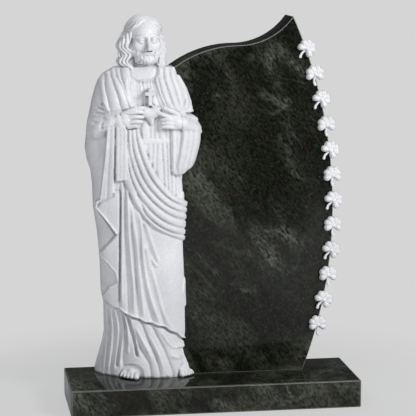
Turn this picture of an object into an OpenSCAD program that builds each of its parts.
// Granite headstone with a carved marble figure at its left and shamrocks down its right edge.
// Millimetres, +Z up, the front faces -Y. The origin is the middle of the base's underside.

/* [Base] */
// Width of the base, left to right
base_w = 1067; // [960:1:1400]
// Depth of the base, front to back
base_d = 356; // [340:1:480]
// Height of the base
base_h = 102; // [70:1:200]
// Width of the small polished bevel along the edges of the base
arris = 3; // [1:0.5:8]

/* [Slab] */
// Height of the slab from the base to its peak
slab_h = 1325; // [1080:1:1650]
// Thickness of the slab
slab_t = 152; // [100:1:190]
// Distance from the back of the base to the back of the slab
slab_setback = 19; // [0:1:40]
// Distance from the figure's axis to the slab's left end, which is let into the figure's back
slab_end = 50; // [30:1:80]
// Distance from the middle of the base to the slab's lower right corner
slab_foot = 350; // [290:1:430]
// Distance from the middle of the base to the slab's peak
slab_peak = 306; // [250:1:380]
// How far the right edge bellies out past a straight line from foot to peak
slab_belly = 132; // [80:1:165]
// Drop from the peak to the flat stretch of the top edge
top_drop = 104; // [70:1:140]
// Distance from the middle of the base to the middle of that flat stretch
top_flat = 105; // [60:1:140]
// Drop from the flat stretch to the slab's left end
shoulder_drop = 128; // [80:1:160]

/* [Shamrocks] */
// Length of a leaflet from the middle of the shamrock
leaflet = 33; // [24:1:40]
// Thickness of a shamrock
shamrock_t = 24; // [12:1:36]
// Length of the stem from the middle of the shamrock
stem = 44; // [34:1:54]
// Height on the slab of the lowest shamrock's middle
shamrock_low = 176; // [120:1:240]
// Distance below the peak of the highest shamrock's middle
shamrock_high = 118; // [90:1:170]

/* [Figure] */
// Height of the figure
figure_h = 1337; // [1110:1:1604]
// Distance from the middle of the base to the figure's axis, to the left
figure_left = 240; // [225:1:270]
// Distance from the slab's front face back to the axis of a figure of the drawn height
figure_inset = 53; // [45:1:60]
// Mortar gap between the figure and the slab let into its back
joint = 2; // [1:0.5:6]

/* [Hidden] */
shamrocks = 12;
granite = "#20261f";
marble = "#e4e4e8";
overrun = 50;              // how far a cutting shape runs past what it cuts
slab_front_y = base_d / 2 - slab_setback - slab_t;
slab_left = figure_left - slab_end;
drawn_h = 1337;            // the figure is drawn at this height and then scaled
figure_scale = figure_h / drawn_h;
figure_y = slab_front_y + figure_inset * figure_scale;

// ---- Curves ----
function clamp01(v) = min(1, max(0, v));
function ease(a, b, v) = let(t = clamp01((v - a) / (b - a))) t * t * (3 - 2 * t);
function band(a, b, c, d, v) = ease(a, b, v) * (1 - ease(c, d, v));
function power(v, e) = v == 0 ? 0 : sign(v) * pow(abs(v), e);

// ---- Slab ----
// The right edge is one arc through the foot and the peak.
edge_run = slab_foot - slab_peak;
edge_chord = sqrt(edge_run * edge_run + slab_h * slab_h);
edge_r = edge_chord * edge_chord / (8 * slab_belly) + slab_belly / 2;
edge_cx = (slab_foot + slab_peak) / 2 - (edge_r - slab_belly) * slab_h / edge_chord;
edge_cz = slab_h / 2 - (edge_r - slab_belly) * edge_run / edge_chord;
edge_start = atan2(-edge_cz, slab_foot - edge_cx);
edge_end = atan2(slab_h - edge_cz, slab_peak - edge_cx);
function edge_point(a) = [edge_cx + edge_r * cos(a), edge_cz + edge_r * sin(a)];
function edge_angle(z) = asin((z - edge_cz) / edge_r);
edge_steps = 40;

// The top edge is an ogee: a hollow arc down from the peak, then a round one down to the left end.
flat_z = slab_h - top_drop;
hollow_w = slab_peak - top_flat;
round_w = top_flat + slab_left;
top_steps = 14;
function ogee_reach(w, d) = sin(min(89, 2 * atan(d / w)));
function ogee_drop(w, d, t) = let(reach = ogee_reach(w, d))
    d * (1 - cos(asin(clamp01(t) * reach))) / (1 - cos(asin(reach)));
hollow = [for (i = [1 : top_steps]) let(t = 1 - i / top_steps)
    [top_flat + hollow_w * t, flat_z + ogee_drop(hollow_w, top_drop, t)]];
shoulder = [for (i = [1 : top_steps]) let(t = i / top_steps)
    [top_flat - round_w * t, flat_z - ogee_drop(round_w, shoulder_drop, t)]];
slab_outline = concat(
    [for (i = [0 : edge_steps]) edge_point(edge_start + (edge_end - edge_start) * i / edge_steps)],
    hollow, shoulder, [[-slab_left, 0]]);

module slab() {
    color(granite)
        translate([0, slab_front_y + slab_t, base_h])
            rotate([90, 0, 0])
                linear_extrude(slab_t) polygon(slab_outline);
}

// ---- Base ----
module base() {
    color(granite)
        hull()
            for (inset = [[0, 1, 1], [1, 0, 1], [1, 1, 0]])
                let(size = [base_w, base_d, base_h] - 2 * arris * inset)
                    translate([-size.x / 2, -size.y / 2, arris * inset.z]) cube(size);
}

// ---- Shamrocks ----
lobe_r = leaflet * 0.36;
lobe_spread = 27;          // angle between a leaflet's middle and each of its two lobes
lobe_fn = 48;
bevel = shamrock_t * 0.25;
web_step = bevel * 0.5;    // how far the webs and the stem lie below the lobes' flat tops
edge_tilt = 40;            // every second shamrock leans over by this much

// A round lobe of a leaflet with a bevelled front edge, and the web that joins it to the middle.
module lobe() {
    reach = leaflet - lobe_r;
    translate([reach, 0, 0]) {
        cylinder(h = shamrock_t - bevel, r = lobe_r, $fn = lobe_fn);
        translate([0, 0, shamrock_t - bevel])
            cylinder(h = bevel, r1 = lobe_r, r2 = lobe_r - bevel, $fn = lobe_fn);
    }
    linear_extrude(shamrock_t - bevel - web_step)
        polygon([[0, -lobe_r * 0.3], [reach, -lobe_r * 0.9], [reach, lobe_r * 0.9], [0, lobe_r * 0.3]]);
}

module shamrock_shape() {
    for (turn = [0, 90, 180], side = [-1, 1])
        rotate(turn + side * lobe_spread) lobe();
    linear_extrude(shamrock_t - bevel - web_step * 2)
        polygon([[-lobe_r * 0.3, 0], [-lobe_r * 0.55, -stem], [lobe_r * 0.55, -stem], [lobe_r * 0.3, 0]]);
    cylinder(h = shamrock_t - web_step, r = lobe_r * 0.7, $fn = lobe_fn);
}

module shamrock(i) {
    z = shamrock_low + (slab_h - shamrock_high - shamrock_low) * (i - 1) / (shamrocks - 1);
    spot = edge_point(edge_angle(z));
    color(marble)
        translate([spot.x, slab_front_y, base_h + spot.y])
            rotate([90, 0, 0])
                rotate(i % 2 == 0 ? -edge_tilt : 0) shamrock_shape();
}

// ---- Figure ----
// Everything below is drawn at a height of drawn_h with its axis at the origin.

// Outline of the robe seen from the front, its right side where it meets the slab: [height, left, right].
robe = [[0, -186, 172], [24, -181, 169], [69, -169, 152], [115, -156, 142], [159, -148, 144],
    [270, -150, 145], [316, -160, 142], [428, -163, 141], [540, -172, 145], [629, -186, 152],
    [674, -188, 149], [719, -189, 138], [764, -194, 149], [808, -208, 172], [853, -215, 183],
    [898, -210, 189], [943, -206, 183], [988, -196, 176], [1032, -187, 161], [1077, -174, 142],
    [1100, -165, 127], [1122, -148, 113], [1145, -108, 90]];
// Front and back of the robe seen from the side: [height, front, back].
robe_side = [[0, -94, 102], [60, -90, 97], [150, -83, 92], [300, -80, 95], [480, -84, 100], [640, -92, 105],
    [740, -86, 101], [850, -90, 103], [950, -94, 104], [1020, -92, 102], [1064, -86, 97], [1100, -77, 84],
    [1122, -70, 70], [1145, -60, 54]];
function column(table, c) = [for (row = table) [row[0], row[c]]];
left_of = column(robe, 1);
right_of = column(robe, 2);
front_of = column(robe_side, 1);
back_of = column(robe_side, 2);

// The mantle's swag: fold k, from 0 at the top edge to 1 at the bottom, at height z.
swag_top = [[880, -15], [840, -5], [800, 8], [760, 30], [700, 78], [665, 115], [645, 155], [600, 210]];
swag_end = [[880, -80], [800, -76], [720, -70], [650, -45], [592, -12], [547, 33], [520, 82], [495, 155],
    [470, 210]];
function swag_fold(x, z) = let(a = lookup(z, swag_top), b = lookup(z, swag_end)) (x - a) / (b - a);
function pleat(phase) = pow(abs(sin(180 * phase)), 0.7);
function mantle_hem(x) = 293 - 0.505 * (x + 173);

// Height of the drapery over the plain body, on the front.
function tunic_folds(x, z) = 9 * pleat((x + 30) / lookup(z, [[0, 34], [250, 24], [1100, 20]]) + z / 900);
function mantle_folds(x, z) = let(v = band(-95, -70, 20, 75, x)) 8 + 9 * v * pleat((x - 20) / 26 - z / 420);
function swag(x, z) = let(k = swag_fold(x, z)) 10 + 10 * pleat(4.5 * clamp01(k));
function lappet(x, z) = 14 + 6 * pleat((x + 150) / 36);
function chest_mantle(x, z) = 12 + 7 * pleat((abs(x) - 0.25 * (1080 - z)) / 24);
function in_swag(x, z) = let(k = swag_fold(x, z))
    band(-0.03, 0.03, 0.97, 1.03, k) * band(470, 500, 830, 880, z);
function in_lappet(x, z) = band(-190, -170, -72, -62, x) * ease(640, 700, z) * (1 - ease(900, 960, z));
function in_chest_mantle(x, z) = let(edge = 52 + 0.06 * (1080 - z))
    ease(edge, edge + 10, abs(x)) * ease(880, 930, z);
function sleeve(x, z) = 16 * band(104, 116, 190, 215, x) * band(722, 745, 880, 960, z);
function front_relief(x, z) = let(
        skirt = z < mantle_hem(x) ? tunic_folds(x, z) : z < 720 ? mantle_folds(x, z) : tunic_folds(x, z),
        over = max(in_swag(x, z) * swag(x, z), in_lappet(x, z) * lappet(x, z),
            in_chest_mantle(x, z) * chest_mantle(x, z)))
    max(skirt, over) + sleeve(x, z);
function back_relief(a, z) = 8 * pleat(a / 26) * ease(0, 200, robe_top - z);

robe_top = 1145;
rings = concat([for (z = [0 : 36 : 432]) z], [for (z = [470 : 21 : 722]) z],
    [for (z = [750 : 33 : 1113]) z], [robe_top]);
front_steps = 48;
back_steps = 18;
spokes = concat([for (i = [0 : front_steps - 1]) 180 + 180 * i / front_steps],
    [for (i = [0 : back_steps - 1]) 180 * i / back_steps]);

// Exponent of the robe's section at height z: 1 is an ellipse, and less is squarer.
function squareness(z) = lookup(z, [[0, 1.05], [300, 0.85]]);
// How much narrower the section is at the slab's face than on its axis, at height z.
function narrowing(z) = let(e = squareness(z)) pow(1 - pow(-50 / lookup(z, front_of), 2 / e), e / 2);
// How far the left half of the hem's front is drawn back.
function hem_turn(x, z) = 0.24 * max(0, 40 - x) * (1 - ease(60, 460, z));

function robe_point(z, a) =
    let(l = lookup(z, left_of), r = lookup(z, right_of) / narrowing(z), f = lookup(z, front_of), b = lookup(z, back_of),
        cx = power(cos(a), squareness(z)), cy = power(sin(a), squareness(z)),
        x = cx < 0 ? -l * cx : r * cx, y = cy < 0 ? -f * cy : b * cy,
        facing = ease(0, 0.45, -cy), turned = ease(0, 0.3, cy),
        relief = facing * front_relief(x - 0.01 * z, z) + turned * back_relief(a, z))
    [x + relief * 0.3 * cx, y + relief * cy + hem_turn(x, z) * (1 - ease(0, 0.9, cy)), z];

module robe_body() {
    n = len(spokes);
    points = concat([for (z = rings, a = spokes) robe_point(z, a)], [[0, 0, 0], [0, 0, robe_top]]);
    top = (len(rings) - 1) * n;
    faces = concat(
        [for (i = [0 : len(rings) - 2], j = [0 : n - 1]) let(k = (j + 1) % n)
            [i * n + j, (i + 1) * n + j, (i + 1) * n + k]],
        [for (i = [0 : len(rings) - 2], j = [0 : n - 1]) let(k = (j + 1) % n)
            [i * n + j, (i + 1) * n + k, i * n + k]],
        [for (j = [0 : n - 1]) [len(points) - 2, j, (j + 1) % n]],
        [for (j = [0 : n - 1]) [len(points) - 1, top + (j + 1) % n, top + j]]);
    polyhedron(points, faces);
}

// A tapering limb through a list of [x, y, z, radius].
module limb(stops, fn = 16) {
    for (i = [0 : len(stops) - 2])
        hull()
            for (s = [stops[i], stops[i + 1]])
                translate([s[0], s[1], s[2]]) sphere(r = s[3], $fn = fn);
}

module head() {
    // skull and face
    hull() {
        translate([6, -12, 1262]) sphere(r = 62, $fn = 24);
        translate([8, -38, 1222]) sphere(r = 44, $fn = 20);
        translate([9, -46, 1172]) sphere(r = 24, $fn = 16);
    }
    // beard
    hull() {
        translate([8, -50, 1186]) sphere(r = 32, $fn = 16);
        translate([9, -58, 1152]) sphere(r = 18, $fn = 12);
    }
    // nose
    hull() {
        translate([12, -82, 1236]) sphere(r = 6, $fn = 8);
        translate([13, -93, 1210]) sphere(r = 8, $fn = 8);
    }
    // cap of hair
    hull() {
        translate([0, 6, 1266]) sphere(r = 71, $fn = 24);
        translate([-10, 22, 1190]) sphere(r = 66, $fn = 20);
    }
    // long hair falling on each shoulder
    limb([[-60, -8, 1240, 34], [-68, -2, 1180, 34], [-64, -22, 1118, 26]], 12);
    limb([[56, -2, 1240, 30], [64, 4, 1180, 28], [66, -20, 1118, 24]], 12);
    // neck
    hull() {
        translate([4, 0, 1190]) cylinder(r = 50, h = 10, $fn = 20);
        translate([0, 4, 1080]) cylinder(r = 58, h = 10, $fn = 20);
    }
}

// A hand laid against the chest: side is -1 for the left of the work and 1 for the right.
module hand(side) {
    palm = [side * 82, -122, 972];
    limb([concat(palm, 22), [side * 62, -124, 976, 20]], 12);
    for (f = [0 : 3]) let(drop = 13 * f, reach = [10, 0, 4, 12][f])
        limb([[side * 66, -128, 992 - drop, 9], [side * (34 + reach), -128, 996 - drop, 8]], 8);
    limb([[side * 76, -124, 992, 10], [side * 52, -128, 1012, 8]], 8);
}

// Forearms held up to the breast, and the wide sleeves and mantle ends that hang from them.
module arms() {
    hull() {
        translate([-176, -36, 880]) sphere(r = 40, $fn = 16);
        translate([-112, -102, 962]) sphere(r = 30, $fn = 16);
        translate([-112, -88, 740]) sphere(r = 14, $fn = 10);
        translate([-168, -52, 690]) sphere(r = 20, $fn = 10);
    }
    hull() {
        translate([178, -36, 880]) sphere(r = 38, $fn = 16);
        translate([122, -102, 960]) sphere(r = 30, $fn = 16);
        translate([128, -92, 746]) sphere(r = 14, $fn = 10);
        translate([166, -50, 772]) sphere(r = 24, $fn = 10);
    }
    hand(-1);
    hand(1);
}

module sacred_heart() {
    translate([2, -102, 988]) hull() {
        for (side = [-1, 1]) translate([side * 15, 0, 14]) sphere(r = 22, $fn = 14);
        translate([6, 2, -38]) sphere(r = 7, $fn = 10);
    }
    // cross standing on the heart
    translate([0, -98, 1014]) {
        translate([-6, -6, 0]) cube([12, 30, 62]);
        translate([-19, -6, 34]) cube([38, 30, 12]);
    }
}

// The feet: [x, y, turn outwards, side that the big toe is on, size].
feet = [[-54, -28, -14, 1, [1.75, 1.6, 1.35]], [136, -36, 12, -1, [1.3, 1.3, 1.3]]];

// A foot coming out from under the hem, with its toes in a row, largest first.
module foot(f) {
    translate([f[0], f[1], 0]) rotate(f[2]) scale(f[4]) {
        hull() {
            translate([0, 30, 20]) sphere(r = 24, $fn = 14);
            translate([0, -12, 9]) sphere(r = 17, $fn = 12);
        }
        for (toe = [0 : 4])
            hull() {
                translate([f[3] * (13 - 7 * toe), 0, 11]) sphere(r = 10 - toe, $fn = 8);
                translate([f[3] * (22 - 11 * toe), -36 + 3 * toe, 7]) sphere(r = 9 - toe, $fn = 8);
            }
    }
}

// The hollow in the hem that a foot's toes stand in.
module toe_arch(f) {
    translate([f[0], f[1], 0])
        rotate(f[2])
            translate([0, -24, 0])
                rotate([90, 0, 0]) cylinder(r = f[3] > 0 ? 46 : 36, h = 120, $fn = 24);
}

// What the slab and its mortar joint take out of the figure's back.
module slab_housing() {
    translate([0, slab_front_y + slab_t + overrun, base_h])
        rotate([90, 0, 0])
            linear_extrude(slab_t + overrun + joint) offset(delta = joint) polygon(slab_outline);
}

module figure() {
    color(marble)
        difference() {
            translate([-figure_left, figure_y, base_h])
                scale(figure_scale)
                    difference() {
                        union() {
                            difference() {
                                robe_body();
                                for (f = feet) toe_arch(f);
                            }
                            head();
                            translate([11, 0, -3]) {
                                arms();
                                sacred_heart();
                            }
                            for (f = feet) foot(f);
                        }
                        translate([-500, -500, -100]) cube([1000, 1000, 100]);
                    }
            slab_housing();
        }
}

base();
slab();
figure();
shamrock(1);  // shamrock_01
shamrock(2);  // shamrock_02
shamrock(3);  // shamrock_03
shamrock(4);  // shamrock_04
shamrock(5);  // shamrock_05
shamrock(6);  // shamrock_06
shamrock(7);  // shamrock_07
shamrock(8);  // shamrock_08
shamrock(9);  // shamrock_09
shamrock(10);  // shamrock_10
shamrock(11);  // shamrock_11
shamrock(12);  // shamrock_12
